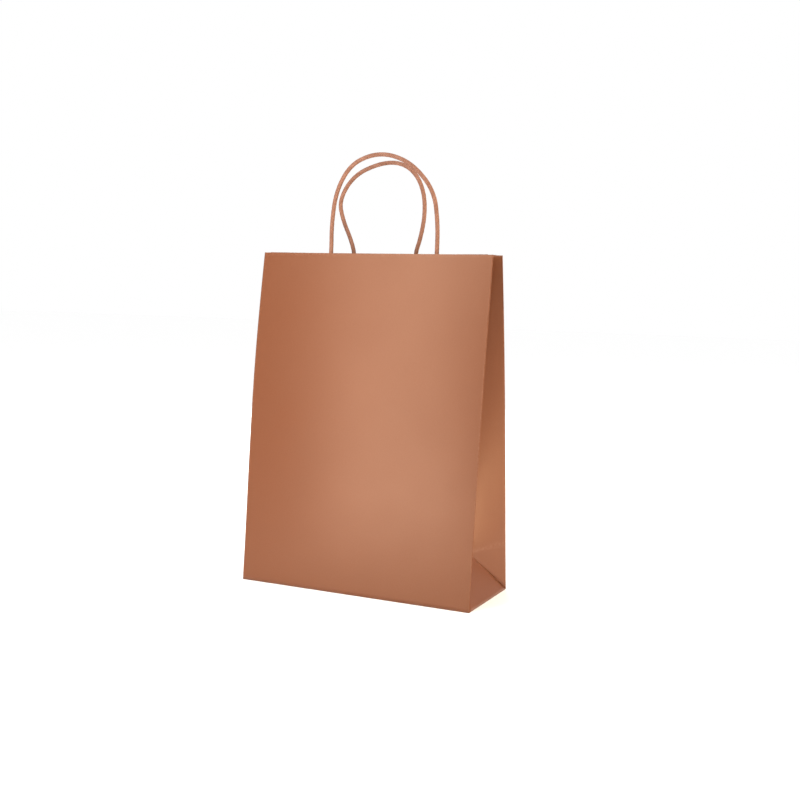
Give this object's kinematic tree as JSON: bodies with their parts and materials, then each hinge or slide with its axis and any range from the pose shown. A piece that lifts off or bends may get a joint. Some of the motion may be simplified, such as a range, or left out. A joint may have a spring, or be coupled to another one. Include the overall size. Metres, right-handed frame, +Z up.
{
  "type": "gift bag",
  "caption": "Tapered paper carrier bag with V-folded side gussets, a folded-over top edge and twisted paper cord handles glued between inner patches.",
  "frame": {"origin": "middle of the base, on the surface that the bag stands on", "axes": "+X across the width, the front faces -Y, +Z up to the mouth and the handles"},
  "size_m": [0.24, 0.095, 0.413],
  "materials": {
    "paper": "satin terracotta paper with fine fibre grain",
    "patch_paper": "matt terracotta paper",
    "handle_cord": "matt twisted paper"
  },
  "bodies": {
    "base": {"bottom_left_flap": "paper", "bottom_right_flap": "paper", "bottom_back_flap": "paper", "bottom_front_flap": "paper"},
    "front_wall": {"front_panel": "paper", "front_hem": "paper", "front_patch_outer": "patch_paper", "front_patch_inner": "patch_paper", "front_handle_ends": "handle_cord"},
    "back_wall": {"back_panel": "paper", "back_hem": "paper", "side_seam_tab": "paper", "back_patch_outer": "patch_paper", "back_patch_inner": "patch_paper", "back_handle_ends": "handle_cord"},
    "left_front_fold": {"left_gusset_front": "paper", "left_gusset_front_hem": "paper"},
    "right_front_fold": {"right_gusset_front": "paper", "right_gusset_front_hem": "paper"},
    "left_back_fold": {"left_gusset_back": "paper", "left_gusset_back_hem": "paper"},
    "right_back_fold": {"right_gusset_back": "paper", "right_gusset_back_hem": "paper"},
    "left_foot": {"left_gusset_foot": "paper"},
    "right_foot": {"right_gusset_foot": "paper"},
    "front_handle": {"front_handle": "handle_cord"},
    "back_handle": {"back_handle": "handle_cord"}
  },
  "joints": [
    {"name": "mouth_opening", "type": "hinge", "parent": "base", "child": "front_wall", "pos_m": [0, -0.0475, 0], "axis": [1, 0, 0], "range_deg": [0, 3.2]},
    {"name": "back_wall_opening", "type": "hinge", "parent": "base", "child": "back_wall", "pos_m": [0, 0.0475, 0], "axis": [-1, 0, 0], "range_deg": [0, 3.2]},
    {"name": "left_front_unfolding", "type": "hinge", "parent": "front_wall", "child": "left_front_fold", "pos_m": [-0.1197, -0.04675, 0], "axis": [0, 0.1103, 0.9939], "range_deg": [0, 24.4]},
    {"name": "right_front_unfolding", "type": "hinge", "parent": "front_wall", "child": "right_front_fold", "pos_m": [0.1197, -0.04675, 0], "axis": [0, -0.1103, -0.9939], "range_deg": [0, 24.4]},
    {"name": "left_back_unfolding", "type": "hinge", "parent": "back_wall", "child": "left_back_fold", "pos_m": [-0.1197, 0.04675, 0], "axis": [0, 0.1103, -0.9939], "range_deg": [0, 24.4]},
    {"name": "right_back_unfolding", "type": "hinge", "parent": "back_wall", "child": "right_back_fold", "pos_m": [0.1197, 0.04675, 0], "axis": [0, -0.1103, 0.9939], "range_deg": [0, 24.4]},
    {"name": "left_foot_unfolding", "type": "hinge", "parent": "base", "child": "left_foot", "pos_m": [-0.1197, 0, 0.0003], "axis": [0, -1, 0], "range_deg": [0, 7.4]},
    {"name": "right_foot_unfolding", "type": "hinge", "parent": "base", "child": "right_foot", "pos_m": [0.1197, 0, 0.0003], "axis": [0, 1, 0], "range_deg": [0, 7.4]},
    {"name": "front_handle_swing", "type": "hinge", "parent": "front_wall", "child": "front_handle", "pos_m": [0, -0.01169, 0.32], "axis": [1, 0, 0], "range_deg": [-7, 166]},
    {"name": "back_handle_swing", "type": "hinge", "parent": "back_wall", "child": "back_handle", "pos_m": [0, 0.01169, 0.32], "axis": [-1, 0, 0], "range_deg": [-8, 165]}
  ],
  "couplings": [
    {"joint": "back_wall_opening", "follows": "mouth_opening", "ratio": 1},
    {"joint": "left_front_unfolding", "follows": "mouth_opening", "ratio": 7.625},
    {"joint": "right_front_unfolding", "follows": "mouth_opening", "ratio": 7.625},
    {"joint": "left_back_unfolding", "follows": "mouth_opening", "ratio": 7.625},
    {"joint": "right_back_unfolding", "follows": "mouth_opening", "ratio": 7.625},
    {"joint": "left_foot_unfolding", "follows": "mouth_opening", "ratio": 2.3125},
    {"joint": "right_foot_unfolding", "follows": "mouth_opening", "ratio": 2.3125}
  ]
}
